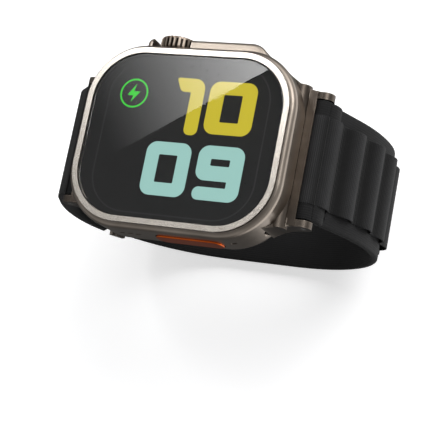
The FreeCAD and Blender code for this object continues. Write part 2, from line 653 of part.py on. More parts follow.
# ---------------------------------------------------------------- buttons
def make_button(name, side, half_long, half_high, corner, out, east, up):
    """A pressed bar in a side wall, its stem, the clip that keeps it and the switch that it works.

    side is 1 on the crown side and -1 on the other; out is how far the bar reaches from the middle."""
    def both(start, stop):
        return (start, stop) if side > 0 else (-size(stop), -size(start))

    stem_in = cavity_half_width - s.stem_inside
    bar = new_body(name + "_button")
    across(bar, lambda sketch: draw_round_rect(sketch, half_long, half_high, corner),
           *both(out - s.button_thick, out), east, up)
    soften(bar, s.crystal_edge,
           lambda edge: edge.BoundBox.YLength < 1e-4 and abs(edge.BoundBox.YMin) > out.value - 1e-3)
    across(bar, lambda sketch: draw_circle(sketch, s.stem_radius),
           *both(stem_in, out - s.button_thick), east, up)

    clip_in = cavity_half_width - s.seat_gap - s.clip_long
    clip = shaft(name + "_button_clip", s.stem_radius + s.clip_wall, *both(clip_in, clip_in + s.clip_long), east, up)
    across(clip, lambda sketch: draw_circle(sketch, s.stem_radius),
           *both(clip_in, clip_in + s.clip_long), east, up, cut=True)

    switch_out = stem_in - s.button_travel - s.running_gap
    switch = new_body(name + "_switch")
    across(switch, lambda sketch: draw_round_rect(sketch, s.switch_half, s.switch_high, s.switch_corner),
           *both(switch_out - s.switch_long, switch_out), east, up)


def make_buttons():
    make_button("side", 1, s.side_button_half, s.side_button_high, s.side_button_corner,
                guard_out - s.running_gap, s.side_button_centre, s.crown_height)
    make_button("action", -1, s.action_half, s.action_high, s.action_corner,
                action_out, s.action_centre, s.action_level)


# ---------------------------------------------------------------- band connectors, latches, releases
def make_fittings(hour, side):
    """One end's connector: a rail in the case slot, two ears and the bar that the band turns on."""
    rail = new_body("band_connector_" + hour)
    rail.AllowCompound = True
    root = s.case_half_length - s.ear_root
    ear_low = s.bar_level - s.ear_radius
    ear_high = s.bar_level + s.ear_radius
    block_high = ear_high + s.ear_rise
    cheek = [(root, ear_low), (bar_reach, ear_low), (bar_reach, block_high), (root, block_high)]
    for start in (-ear_in - ear_flank - s.ear_thick, ear_in):
        across(rail, lambda sketch: draw_polygon(sketch, mirrored(cheek, side)),
               start, start + s.ear_thick + ear_flank, 0, 0)
    across(rail, lambda sketch: draw_circle(sketch, s.ear_sweep), -s.case_half_width, s.case_half_width,
           bar_reach * side, ear_high + s.ear_sweep, cut=True)
    for start in (-ear_out - flank_sweep, ear_out + flank_sweep):
        round_up(rail, flank_sweep, ear_low, block_high, bar_reach * side, start, cut=True)
    for start in (-ear_out, ear_in):
        across(rail, lambda sketch: draw_circle(sketch, s.ear_radius), start, start + s.ear_thick,
               bar_reach * side, s.bar_level)
    hole_down(rail, s.case_half_length + s.seat_gap, s.case_half_width, s.case_corner, ear_low, block_high)

    across(rail, lambda sketch: draw_circle(sketch, s.rail_radius), -rail_half, rail_half,
           rail_reach * side, s.rail_level)
    tip = bar_reach - s.web_lip
    low = s.rail_level - s.web_half_thick
    high = s.rail_level + s.web_half_thick
    web = [(rail_reach, low), (tip, low), (tip, high), (rail_reach, high)]
    across(rail, lambda sketch: draw_polygon(sketch, mirrored(web, side)), -ear_out, ear_out, 0, 0)
    across(rail, lambda sketch: draw_circle(sketch, wrap_radius + s.web_gap), -ear_in, ear_in,
           bar_reach * side, s.bar_level, cut=True)
    for start in (-ear_out, ear_in):
        across(rail, lambda sketch: draw_circle(sketch, s.bar_radius), start, start + s.ear_thick,
               bar_reach * side, s.bar_level, cut=True)
    round_up(rail, s.latch_radius + s.running_gap, s.rail_level - s.rail_radius - s.seat_gap,
             s.rail_level + s.release_travel + s.seat_gap, release_reach * side, 0, cut=True)

    shaft("band_bar_" + hour, s.bar_radius, -ear_out, ear_out, bar_reach * side, s.bar_level)
    button = plate("band_release_" + hour, s.release_wide, s.release_half, s.release_corner,
                   s.case_bottom + s.release_recess, release_top, release_reach * side, 0)
    round_up(button, s.latch_radius, release_top, release_top + s.release_neck, release_reach * side, 0)
    disc("band_latch_" + hour, s.latch_radius, release_top + s.release_neck + s.running_gap, s.rail_level,
         release_reach * side, 0)


def mirrored(corners, side):
    """An outline drawn for the six o'clock end, turned over for the other end when side is -1."""
    return [(size(east) * side, north) for east, north in corners]


# ---------------------------------------------------------------- band
class Track:
    """A smooth route of lines and arcs in the XZ plane, for the outer face of a band."""

    def __init__(self, start):
        self.pieces = []
        self.end = start

    def line_to(self, place):
        self.pieces.append(("line", self.end, place, (place - self.end).Length))
        self.end = place
        return self

    def arc(self, centre, radius, first, last):
        """Clockwise seen with +X to the right and +Z up: first and last are angles in degrees."""
        self.pieces.append(("arc", centre, (radius, first, last), radius * math.radians(first - last)))
        self.end = polar(centre, radius, last)
        return self

    def length(self):
        return sum(piece[3] for piece in self.pieces)

    def at(self, along, out):
        """The point a distance along the route and a distance outside it."""
        for kind, first, second, long in self.pieces:
            if along <= long + 1e-9:
                break
            along -= long
        else:
            along += long
        if kind == "line":
            way = (second - first) / long
            return first + way * along + Vector(-way.z, 0, way.x) * out
        radius, begin, _ = second
        return polar(first, radius + out, begin - math.degrees(along / radius))

    def edges(self, out, low=0.0, high=None):
        """The route's own lines and arcs between two distances, moved out."""
        high = self.length() if high is None else high
        begin = 0.0
        found = []
        for kind, _, _, long in self.pieces:
            left = max(low, begin)
            right = min(high, begin + long)
            if right - left > 1e-6:
                ends = self.at(left + 1e-9, out), self.at(right - 1e-9, out)
                if kind == "line":
                    found.append(Part.LineSegment(*ends).toShape())
                else:
                    found.append(Part.Arc(ends[0], self.at((left + right) / 2, out), ends[1]).toShape())
            begin += long
        return found


def polar(centre, radius, angle):
    turn = math.radians(angle)
    return centre + Vector(radius * math.cos(turn), 0, radius * math.sin(turn))


def strip(track, inner, outer, half_width, low=0.0, high=None):
    """The band between two offsets of its route, as wide as the band."""
    high = track.length() if high is None else high
    near = track.edges(inner, low, high)
    far = track.edges(outer, low, high)
    caps = [Part.LineSegment(track.at(end, inner), track.at(end, outer)).toShape() for end in (low, high)]
    return extruded(near + far + caps, half_width)


def extruded(edges, half_width):
    wire = Part.Wire(Part.__sortEdges__(edges))
    face = Part.Face(wire)
    face.translate(Vector(0, -half_width, 0))
    return face.extrude(Vector(0, 2 * half_width, 0))


def sleeve(centre, outer, half_width):
    return Part.makeCylinder(outer, 2 * half_width, centre - Vector(0, half_width, 0), Vector(0, 1, 0))


def looped_track():
    """Outer face of the six o'clock band: down the right side, under the wrist, up to its tail."""
    level = s.side_level.value
    bend = s.bend_radius.value
    flare = s.flare_radius.value
    turn = s.flare_turn.value
    upper = Vector(right_reach.value - flare, 0, level)
    right = Vector(right_reach.value - bend, 0, level)
    left = Vector(bend - left_reach.value, 0, level)
    shoulder = polar(upper, flare, turn)
    slope = Vector(math.sin(math.radians(turn)), 0, -math.cos(math.radians(turn)))
    bar = Vector(bar_reach.value, 0, s.bar_level.value)
    start = shoulder - slope * (shoulder - bar).dot(slope)
    track = Track(start)
    track.line_to(shoulder).arc(upper, flare, turn, 0).arc(right, bend, 0, -90)
    track.line_to(Vector(left.x, 0, level - bend)).arc(left, bend, -90, -180 - s.tail_rise.value)
    return track


def hooked_frame():
    """Centre and radii of the left bend, drawn as if it were on the right."""
    centre = Vector(left_reach.value - s.bend_radius.value, 0, s.side_level.value)
    inner = s.bend_radius.value + s.loop_proud.value + s.lap_gap.value
    return centre, inner, inner + s.band_thick.value


def hooked_track():
    """Outer face of the twelve o'clock band, drawn as if it were on the right, ending at its hook."""
    centre, _, radius = hooked_frame()
    level = s.side_level.value
    flare = s.flare_radius.value + s.hooked_flare_extra.value
    turn = s.flare_turn.value
    bend = s.shoulder_bend.value
    upper = Vector(centre.x + radius - flare, 0, level)
    shoulder = polar(upper, flare, turn)
    climb = Vector(-math.sin(math.radians(turn)), 0, math.cos(math.radians(turn)))
    knee = shoulder + climb * s.shoulder_run.value
    hub = polar(knee, -bend, turn)
    bar = Vector(bar_reach.value, 0, s.bar_level.value)
    reach = bar - hub
    wrap = wrap_radius.value
    lead = math.degrees(math.atan2(reach.z, reach.x) - math.acos((bend - wrap) / reach.Length))
    track = Track(polar(bar, wrap, lead))
    track.line_to(polar(hub, bend, lead)).arc(hub, bend, lead, turn).line_to(shoulder)
    track.arc(upper, flare, turn, 0).arc(centre, radius, 0, s.hook_lead.value - s.hook_turn.value)
    return track


def make_looped_band():
    track = looped_track()
    half = s.band_half_width.value
    bar = Vector(bar_reach.value, 0, s.bar_level.value)
    fold = wrap_radius.value - (track.at(0, 0) - bar).Length
    base = strip(track, -s.band_thick.value, 0, half).fuse(sleeve(bar, wrap_radius.value, half))
    base = base.fuse(strip(track, 0, fold, half, 0, s.fold_run.value))
    bore = sleeve(bar, s.bar_radius.value + s.running_gap.value, half + 1)
    new_shape("band_base_6", base.cut(bore).removeSplitter())

    pitch = s.loop_pitch.value
    valley = s.loop_valley.value
    layer = s.loop_layer.value
    clear = s.loop_clear.value
    middle = track.pieces[0][3] + track.pieces[1][3] + track.pieces[2][3] + track.pieces[3][3] / 2
    before = int((middle - wrap_radius.value - clear - pitch / 2) / pitch)
    after = int((track.length() - middle - pitch / 2 - clear) / pitch)
    first = middle - (before + 0.5) * pitch
    last = middle + (after + 0.5) * pitch
    top = [Part.LineSegment(track.at(first, 0), track.at(first, layer)).toShape()]
    here = track.at(first, layer)
    for number in range(before + after + 1):
        begin = first + number * pitch
        foot = track.at(begin + valley / 2, layer)
        crest = track.at(begin + pitch / 2, s.loop_proud.value)
        heel = track.at(begin + pitch - valley / 2, layer)
        top.append(Part.LineSegment(here, foot).toShape())
        top.append(Part.Arc(foot, crest, heel).toShape())
        here = heel
    top.append(Part.LineSegment(here, track.at(last, layer)).toShape())
    top.append(Part.LineSegment(track.at(last, layer), track.at(last, 0)).toShape())
    new_shape("band_loops_6", extruded(top + track.edges(0, first, last), loop_half_width.value))


def make_hooked_band():
    centre, inner, _ = hooked_frame()
    half = s.band_half_width.value
    bar = Vector(bar_reach.value, 0, s.bar_level.value)
    pin = polar(centre, inner + hook_wrap.value, -s.hook_turn.value)
    band = strip(hooked_track(), -s.band_thick.value, 0, half).fuse(sleeve(bar, wrap_radius.value, half))
    narrow = half - s.hook_arm.value - s.lap_gap.value
    for side in (-1, 1):
        room = Part.makeCylinder(hook_wrap.value + s.lap_gap.value + s.hook_room.value, half - narrow,
                                 pin + Vector(0, narrow if side > 0 else -half, 0), Vector(0, 1, 0))
        band = band.cut(room)
    band = band.fuse(sleeve(pin, hook_wrap.value, narrow))
    band = band.cut(sleeve(bar, s.bar_radius.value + s.running_gap.value, half + 1))
    band = band.cut(sleeve(pin, s.hook_bar.value + s.running_gap.value, half + 1)).removeSplitter()
    new_shape("band_base_12", band.mirror(Vector(0, 0, 0), Vector(1, 0, 0)))
    make_hook(Vector(-pin.x, 0, pin.z), half)


def make_hook(pin, half):
    """The open metal hook: X runs along the band from the bar, Z points away from the wrist."""
    body = new_body("band_hook")
    arm_in = s.band_half_width - s.hook_arm
    thick = s.hook_thick / 2
    bar = s.hook_bar
    tongue_in = s.hook_long - s.hook_tongue
    across(body, lambda sketch: draw_circle(sketch, bar), -s.band_half_width, s.band_half_width, 0, 0)
    for stop, start, finish in ((s.hook_long, arm_in, s.band_half_width),
                                (s.hook_short_arm, -s.band_half_width, -arm_in)):
        across(body, lambda sketch: draw_polygon(sketch, [(-bar, -thick), (stop, -thick), (stop, thick),
                                                          (-bar, thick)]), start, finish, 0, 0)
    across(body, lambda sketch: draw_polygon(sketch, [(tongue_in, -thick), (s.hook_long, -thick),
                                                      (s.hook_long, thick), (tongue_in, thick)]),
           -s.hook_tongue_half, s.band_half_width, 0, 0)
    tongue = tongue_in.value - s.running_gap.value
    soften(body, s.hook_round, lambda edge: edge.BoundBox.XMin > tongue and edge.BoundBox.YLength > half / 3)
    turn = 90 - s.hook_turn.value - s.hook_lean.value
    body.Placement = Placement(pin, Rotation(Vector(0, 1, 0), turn))


# ---------------------------------------------------------------- build
make_case()
make_guard()
make_front()
make_back()
make_inside()
make_crown()
make_buttons()
make_fittings("12", -1)
make_fittings("6", 1)
make_looped_band()
make_hooked_band()
doc.recompute()

for item in doc.Objects:
    if "Invalid" in item.State or "Error" in item.State:
        raise ValueError(f"{item.Label} failed: {item.State}")
for part in parts:
    if part.Shape.isNull() or not part.Shape.isValid():
        raise ValueError(f"{part.Label} has no valid shape")
for part in parts:
    part.Shape.exportStep(f"parts/{part.Label}.step")
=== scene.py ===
import json
import math

import bmesh
import bpy
import numpy as np
from mathutils import Matrix, Vector


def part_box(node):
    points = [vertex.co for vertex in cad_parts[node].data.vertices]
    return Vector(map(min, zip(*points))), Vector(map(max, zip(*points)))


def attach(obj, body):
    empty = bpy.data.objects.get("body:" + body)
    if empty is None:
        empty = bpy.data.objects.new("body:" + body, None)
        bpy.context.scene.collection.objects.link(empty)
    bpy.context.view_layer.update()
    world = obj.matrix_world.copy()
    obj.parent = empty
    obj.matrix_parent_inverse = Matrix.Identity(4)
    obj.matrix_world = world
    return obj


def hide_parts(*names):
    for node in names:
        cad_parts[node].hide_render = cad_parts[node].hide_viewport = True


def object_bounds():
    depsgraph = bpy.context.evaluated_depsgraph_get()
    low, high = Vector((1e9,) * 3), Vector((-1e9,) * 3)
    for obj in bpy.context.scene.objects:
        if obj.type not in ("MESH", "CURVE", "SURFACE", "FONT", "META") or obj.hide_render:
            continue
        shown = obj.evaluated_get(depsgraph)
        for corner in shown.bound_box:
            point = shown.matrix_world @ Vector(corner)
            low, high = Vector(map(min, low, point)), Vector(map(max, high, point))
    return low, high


# A rugged wrist watch standing on its closed woven band.  Lengths here are millimetres, and MM
# turns them into the metres of the frame.  +Z points out of the display, +X to the six o'clock
# end of the case and +Y to the crown.

MM = 0.001
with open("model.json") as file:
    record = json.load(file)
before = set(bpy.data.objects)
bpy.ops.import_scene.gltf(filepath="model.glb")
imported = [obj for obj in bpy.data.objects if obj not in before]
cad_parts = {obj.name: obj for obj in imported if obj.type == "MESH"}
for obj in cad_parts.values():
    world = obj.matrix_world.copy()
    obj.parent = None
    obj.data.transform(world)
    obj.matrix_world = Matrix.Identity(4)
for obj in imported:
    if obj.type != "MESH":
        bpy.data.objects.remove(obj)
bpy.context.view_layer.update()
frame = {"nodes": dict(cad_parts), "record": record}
nodes = frame["nodes"]


def reach(node):
    """Lowest and highest corner of a node, in millimetres."""
    low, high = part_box(node)
    return [value / MM for value in low], [value / MM for value in high]


# ---------------------------------------------------------------- shader language
class Value:
    """A shader value that can be written into ordinary sums."""

    def __init__(self, pattern, socket):
        self.pattern = pattern
        self.socket = socket

    def _sum(self, operation, *terms):
        return self.pattern.node("Math", {"operation": operation}, dict(enumerate(terms)))

    def __add__(self, other):
        return self._sum("ADD", self, other)

    def __sub__(self, other):
        return self._sum("SUBTRACT", self, other)

    def __rsub__(self, other):
        return self._sum("SUBTRACT", other, self)

    def __mul__(self, other):
        return self._sum("MULTIPLY", self, other)

    def __truediv__(self, other):
        return self._sum("DIVIDE", self, other)

    def __pow__(self, other):
        return self._sum("POWER", self, other)

    def __abs__(self):
        return self._sum("ABSOLUTE", self)

    __radd__ = __add__
    __rmul__ = __mul__

    def sine(self):
        return self._sum("SINE", self)

    def floor(self):
        return self._sum("FLOOR", self)

    def larger(self, other):
        return self._sum("MAXIMUM", self, other)

    def root(self):
        return self._sum("SQRT", self)

    def between(self, low, high):
        """0 below low, 1 above high, and an even climb between them."""
        return self.pattern.node("MapRange", {"clamp": True},
                                {"Value": self, "From Min": low, "From Max": high})


class Pattern:
    """A node tree, built from nothing."""

    def __init__(self, tree):
        self.tree = tree
        tree.nodes.clear()

    def add(self, kind, settings=None, sockets=None):
        """Adds a node: its settings first, then the values or links of its sockets."""
        node = self.tree.nodes.new("ShaderNode" + kind)
        for name, amount in (settings or {}).items():
            if name == "stops":
                self._stops(node.color_ramp, amount)
            else:
                setattr(node, name, amount)
        for name, amount in (sockets or {}).items():
            self.feed(node.inputs[name], amount)
        return node

    def node(self, kind, settings=None, sockets=None, out=0):
        """Adds a node and gives one of its outputs."""
        return Value(self, self.add(kind, settings, sockets).outputs[out])

    def _stops(self, ramp, stops):
        while len(ramp.elements) < len(stops):
            ramp.elements.new(1.0)
        for element, (place, colour) in zip(ramp.elements, stops):
            element.position = place
            element.color = colour

    def feed(self, socket, amount):
        if isinstance(amount, Value):
            self.tree.links.new(amount.socket, socket)
        else:
            socket.default_value = amount


class Finish(Pattern):
    """One surface finish: a Principled shader and the patterns that drive it."""

    def __init__(self, name, **fixed):
        self.material = bpy.data.materials.new(name)
        self.material.use_nodes = True
        super().__init__(self.material.node_tree)
        self.output = self.add("OutputMaterial")
        self.surface = self.add("BsdfPrincipled")
        self.feed(self.output.inputs["Surface"], self.principled())
        self.set(**fixed)

    def set(self, **sockets):
        """Feeds sockets of the Principled shader, named with _ for each space."""
        for name, amount in sockets.items():
            self.feed(self.surface.inputs[name.replace("_", " ")], amount)
        return self

    def principled(self):
        return Value(self, self.surface.outputs[0])

    def show(self, share, first, second):
        """Shows one shader, and as much of a second as the share says."""
        mixed = self.node("MixShader", None, {0: share, 1: first, 2: second})
        self.feed(self.output.inputs["Surface"], mixed)
        return self

    def place(self):
        """Where a point is in the frame, in metres, as a vector."""
        return self.node("TexCoord", out=3)

    def axes(self):
        """The three coordinates of a point, in millimetres."""
        here = self.place()
        parts = [self.node("SeparateXYZ", None, {0: here}, out=axis) for axis in range(3)]
        return [part * (1 / MM) for part in parts]

    def weave_place(self):
        """Across and along a woven band, in millimetres."""
        flat = self.node("UVMap", {"uv_map": "weave"})
        return [self.node("SeparateXYZ", None, {0: flat}, out=axis) for axis in range(2)]

    def noise(self, size, detail=3.0, rough=0.55, place=None):
        """Cloudy noise whose blotches are about a size across, in millimetres."""
        return self.node("TexNoise", None, {"Vector": place or self.place(), "Scale": 1 / (size * MM),
                                            "Detail": detail, "Roughness": rough})

    def stretched(self, along):
        """Coordinates squeezed so that noise is drawn out along one axis."""
        return self.node("Mapping", None, {"Vector": self.place(), "Scale": along})

    def cells(self, size):
        """Distance from the middles of scattered cells about a size across, in millimetres."""
        return self.node("TexVoronoi", None, {"Vector": self.place(), "Scale": 1 / (size * MM)})

    def blend(self, share, first, second):
        """Mixes two colours."""
        return self.node("Mix", {"data_type": "RGBA"}, {0: share, 6: first, 7: second}, out=2)

    def bump(self, height, depth, strength=1.0):
        """Relief of a given depth in millimetres where height goes from 0 to 1."""
        relief = {"Strength": strength, "Distance": depth * MM, "Height": height}
        return self.set(Normal=self.node("Bump", None, relief))

    def edges(self, radius):
        """1 on sharp edges and 0 on flat faces."""
        soft = self.node("Bevel", {"samples": 4}, {"Radius": radius * MM})
        true = self.node("NewGeometry", out=1)
        alike = self.node("VectorMath", {"operation": "DOT_PRODUCT"}, {0: soft, 1: true}, out=1)
        return (1 - alike).between(0.004, 0.16)


def shade(red, green, blue):
    """A colour from its red, green and blue, 0 to 255, with the display curve taken out."""
    return tuple(((v / 255 + 0.055) / 1.055) ** 2.4 if v > 10 else v / 255 / 12.92
                 for v in (red, green, blue)) + (1.0,)


# ---------------------------------------------------------------- finishes
def blasted_metal(name, dark, light, rough, grain=0.16, depth=0.012, worn=None, lip=None):
    """Bead-blasted metal: a fine frosted grain, faint clouds and brighter rubbed edges; over a lip, a painted
    highlight on its top and painted shade just below it.
    """
    f = Finish(name, Metallic=1.0)
    frost = f.noise(grain, 4.0, 0.7)
    cloud = f.noise(9.0, 3.0)
    colour = f.blend((cloud * 0.8 + frost * 0.2).between(0.32, 0.68), dark, light)
    lightened = f.edges(0.35) * f.noise(1.3, 3.0).between(0.32, 0.62) * 0.55
    if lip is not None:
        level = f.axes()[2]
        # painted highlight: the top of the lip is lightened to the worn colour, along with the rubbed edges
        lightened = lightened.larger(level.between(lip - 0.02, lip + 0.1))
        # painted shade: a darker band down the lip's side and the shoulder just below its top
        shaded = level.between(lip - 1.1, lip - 0.6) * (1 - level.between(lip - 0.04, lip + 0.04))
        colour = f.blend(shaded * 0.7, colour, shade(58, 53, 49))
    f.set(Base_Color=f.blend(lightened, colour, worn or light))
    f.set(Roughness=rough + (frost - 0.5) * 0.12 + (cloud - 0.5) * 0.06 - lightened * 0.06)
    return f.bump(frost, depth, 0.5).material


def turned_metal(name, dark, light, rough, axis):
    """Lathe-turned metal: rings about one axis of the piece, with drawn-out tool lines."""
    f = Finish(name, Metallic=1.0)
    squeeze = [1.0, 1.0, 1.0]
    squeeze[axis] = 14.0
    lines = f.noise(0.9, 5.0, 0.7, f.stretched(squeeze))
    stain = f.noise(2.4, 3.0)
    lightened = f.edges(0.2)
    colour = f.blend((lines * 0.6 + stain * 0.4).between(0.3, 0.7), dark, light)
    f.set(Base_Color=f.blend(lightened * 0.5, colour, light))
    f.set(Roughness=rough + (lines - 0.5) * 0.2 - lightened * 0.08)
    return f.bump(lines, 0.02, 0.4).material


def knurled_crown():
    """The crown's knurl: bright rubbed teeth with painted shade down in the grooves."""
    f = Finish("knurled_titanium", Metallic=1.0)
    low, high = reach("crown_knob")
    radius = (high[0] - low[0]) / 2
    across, out, up = f.axes()
    aside = across - (low[0] + radius)
    above = up - (low[2] + radius)
    far = (aside * aside + above * above).root()
    tooth = far.between(radius - 0.36, radius - 0.06).larger(out.between(high[1] - 0.5, high[1] - 0.3))
    lines = f.noise(0.5, 5.0, 0.7, f.stretched((1.0, 9.0, 1.0)))
    worn = f.blend(lines.between(0.3, 0.7), shade(128, 116, 105), shade(176, 163, 150))
    # painted shade: the grooves between the teeth are coloured dark
    f.set(Base_Color=f.blend(tooth, shade(34, 30, 27), worn))
    f.set(Roughness=0.34 + (lines - 0.5) * 0.2)
    return f.bump(lines, 0.02, 0.4).material


def moulded(name, dark, light, rough, grain=0.25, depth=0.02, **more):
    """Moulded plastic or rubber: a fine spark-eroded grain and a slight mottle."""
    f = Finish(name, **more)
    pits = f.noise(grain, 4.0, 0.65)
    mottle = f.noise(3.5, 2.0)
    f.set(Base_Color=f.blend(mottle.between(0.35, 0.65), dark, light))
    f.set(Roughness=rough + (pits - 0.5) * 0.18)
    return f.bump(pits, depth, 0.5).material


def sapphire_glass():
    """Clear polished crystal with the faintest haze of wiping; lamps shine through it."""
    f = Finish("sapphire_crystal", Transmission_Weight=1.0, IOR=1.42, Base_Color=(0.97, 0.98, 0.98, 1.0))
    haze = f.noise(9.0, 1.0, 0.4)
    f.set(Roughness=haze.between(0.3, 0.7) * 0.03)
    return f.show(f.node("LightPath", out=1), f.principled(), f.node("BsdfTransparent")).material


def lit_display(name, colour, glow):
    """The lit display: tiny square cells, a little brighter in their middles."""
    f = Finish(name, Base_Color=(0.004, 0.004, 0.004, 1.0), Roughness=0.5, Specular_IOR_Level=0.1,
               Emission_Strength=glow)
    across, along, _ = f.axes()
    cell_size = 0.16
    cell = (across * (math.pi / cell_size)).sine() * (along * (math.pi / cell_size)).sine()
    cloud = f.noise(4.0, 2.0)
    darker = tuple(v * 0.86 for v in colour[:3]) + (1.0,)
    f.set(Emission_Color=f.blend(abs(cell).between(0.0, 0.5) * 0.7 + cloud * 0.3, darker, colour))
    return f.material


def dark_display():
    """Unlit display: deep black, with a faint paler rule just inside its border."""
    f = Finish("unlit_display", Specular_IOR_Level=0.1)
    across, along, _ = f.axes()
    low, high = reach("display_panel")
    corner, inset = 8.6, 0.35
    past_x = (abs(across) - (high[0] - corner - inset)).larger(0.0)
    past_y = (abs(along) - (high[1] - corner - inset)).larger(0.0)
    rim = (past_x * past_x + past_y * past_y).root() - corner
    line = 1 - abs(rim).between(0.05, 0.22)
    dust = f.noise(14.0, 2.0)
    black = f.blend(dust, (0.006, 0.006, 0.006, 1.0), (0.008, 0.008, 0.008, 1.0))
    f.set(Base_Color=f.blend(line * 0.5, black, (0.035, 0.035, 0.037, 1.0)))
    f.set(Roughness=0.5 + dust * 0.1)
    return f.material


def woven(name, warp, weft, dark, light, depth, cross=0.35, crest=None, lengthwise=True):
    """Woven yarn: ribs run along or across the band, every other one set half a stitch on, with painted shade
    in the gaps between yarns.

    A crest, as (first loop, pitch), paints light on each loop's rise and painted shade in the valley after
    it.
    """
    f = Finish(name, Sheen_Weight=0.03, Sheen_Roughness=0.5, Specular_IOR_Level=0.2)
    across, along = f.weave_place()
    ribs, yarns = (across, along) if lengthwise else (along, across)
    wander = (f.noise(1.1, 2.0) - 0.5) * 0.35
    rib = abs(((ribs + wander * warp * 0.4) * (math.pi / warp)).sine())
    odd = (ribs / warp).floor() * 0.5
    turn = ((yarns / weft + odd) * (2 * math.pi)).sine()
    over = rib * (1 - cross) + (turn * 0.5 + 0.5) * rib * cross
    yarn = f.noise(0.18, 3.0, 0.7)
    cloud = f.noise(5.0, 3.0)
    height = over * 0.8 + yarn * 0.2
    # painted shade: the tone follows the weave, lighter on the yarns' tops and darker in the gaps between
    # them; yarn and cloud noise add random tone
    tone = (over * 0.55 + yarn * 0.25 + cloud * 0.3).between(0.15, 1.05)
    if crest is not None:
        start, pitch = crest
        turns = (along - start) / pitch
        part = turns - turns.floor()
        # painted light and shade: each loop's rise and crest are lightened, and its fall and the valley after
        # it darkened
        tone = tone * (0.10 + part.between(0.22, 0.60) * (1 - part.between(0.68, 0.86)) * 1.5)
    f.set(Base_Color=f.blend(tone, dark, light))
    f.set(Roughness=0.72 + (yarn - 0.5) * 0.25)
    return f.bump(height, depth, 0.9).material


def circuit_board():
    """Solder mask with fine tracks under it and tinned pads here and there."""
    f = Finish("circuit_board", Coat_Roughness=0.2)
    tracks = f.node("TexBrick", None, {"Vector": f.place(), "Scale": 420.0, "Mortar Size": 0.03,
                                       "Color1": (0.0, 0.0, 0.0, 1.0), "Color2": (0.0, 0.0, 0.0, 1.0),
                                       "Mortar": (1.0, 1.0, 1.0, 1.0)}, out=1)
    pads = f.cells(1.6).between(0.24, 0.2)
    green = f.blend(tracks, (0.008, 0.035, 0.022, 1.0), (0.02, 0.075, 0.045, 1.0))
    f.set(Base_Color=f.blend(pads, green, (0.55, 0.5, 0.42, 1.0)), Metallic=pads * 0.9)
    f.set(Roughness=0.42 - pads * 0.12)
    return f.bump(tracks + pads, 0.03, 0.4).material


def wound_copper():
    """Enamelled wire wound round the middle of the watch, with painted shade between its turns."""
    f = Finish("wound_copper", Metallic=1.0, Coat_Weight=0.4)
    across, along, _ = f.axes()
    out = (across * across + along * along).root()
    wire = abs((out * (math.pi / 0.22)).sine())
    # painted shade: the gaps between the turns are coloured dark brown, the wire's tops copper
    f.set(Base_Color=f.blend(wire, (0.16, 0.05, 0.02, 1.0), (0.62, 0.27, 0.12, 1.0)))
    f.set(Roughness=0.32 + f.noise(0.5) * 0.12)
    return f.bump(wire, 0.08, 0.8).material


def wrapped_cell():
    """The battery's crinkled foil wrap."""
    f = Finish("battery_foil", Metallic=0.85)
    crinkle = f.cells(1.8)
    fine = f.noise(0.5, 4.0, 0.7)
    f.set(Base_Color=f.blend(crinkle.between(0.0, 0.7), (0.1, 0.1, 0.11, 1.0), (0.28, 0.28, 0.29, 1.0)))
    f.set(Roughness=0.3 + fine * 0.2)
    return f.bump(crinkle * 0.7 + fine * 0.3, 0.08, 0.6).material


finishes = {
    # the worn colour also paints the highlight on the lip's top, and the lip height places the painted shade
    # below it
    "titanium": blasted_metal("blasted_titanium", shade(142, 132, 122), shade(174, 163, 152), 0.33,
                              worn=shade(206, 199, 190), lip=reach("case")[1][2] - 0.12),
    "titanium_dark": knurled_crown(),
    "sapphire": sapphire_glass(),
    "ceramic": moulded("back_ceramic", (0.012, 0.012, 0.013, 1.0), (0.02, 0.02, 0.021, 1.0),
                       0.3, 0.5, 0.01, Coat_Weight=0.5),
    "ceramic_gloss": moulded("polished_ceramic", (0.008, 0.008, 0.009, 1.0), (0.016, 0.016, 0.017, 1.0),
                             0.1, 0.6, 0.002, Coat_Weight=1.0),
    "steel": turned_metal("brushed_steel", shade(150, 150, 150), shade(196, 195, 192), 0.28, 2),
    "bronze": turned_metal("oiled_bronze", shade(120, 84, 50), shade(176, 130, 82), 0.34, 1),
    "aluminium": blasted_metal("cast_aluminium", shade(150, 152, 155), shade(190, 192, 195),
                               0.45, 0.3, 0.02),
    "black_plastic": moulded("moulded_black", (0.012, 0.012, 0.013, 1.0), (0.028, 0.028, 0.03, 1.0), 0.5),
    "clear_plastic": moulded("clear_window", (0.30, 0.32, 0.30, 1.0), (0.42, 0.44, 0.42, 1.0),
                             0.12, 0.4, 0.004, Coat_Weight=0.6),
    "display_black": dark_display(),
    "flex": moulded("flexible_circuit", shade(130, 78, 30), shade(176, 112, 44), 0.4, 0.7, 0.02),
    "board": circuit_board(),
    "battery_foil": wrapped_cell(),
    "copper": wound_copper(),
    "rubber_seal": moulded("black_rubber", (0.006, 0.006, 0.006, 1.0), (0.014, 0.014, 0.014, 1.0), 0.62),
    "orange_anodised": blasted_metal("orange_anodised", shade(186, 76, 24), shade(222, 104, 42),
                                     0.36, 0.2, 0.01, worn=shade(240, 140, 80)),
    "band_fabric": woven("plain_weave", 0.42, 0.5, shade(5, 5, 5), shade(26, 26, 27), 0.05),
}
FIRST_LOOP, PITCH = 5.9, 8.4    # where the whole loops begin along the band, and how often they come
rail_weave = woven("rail_weave", 0.5, 0.42, shade(5, 5, 5), shade(31, 31, 32), 0.05, 0.45)
loop_weave = woven("loop_weave", 0.42, 0.5, shade(4, 4, 4), shade(46, 46, 47), 0.06,
                   crest=(FIRST_LOOP, PITCH), lengthwise=False)
thread = woven("stitching_thread", 0.2, 0.3, shade(10, 10, 11), shade(44, 44, 47), 0.02)
# painted shade: a darker copy of the titanium for the band's ears, which lie in shadow
ears_in_painted_shade = blasted_metal("titanium_in_painted_shade", shade(74, 67, 61), shade(106, 98, 90), 0.36,
                          worn=shade(150, 140, 130))

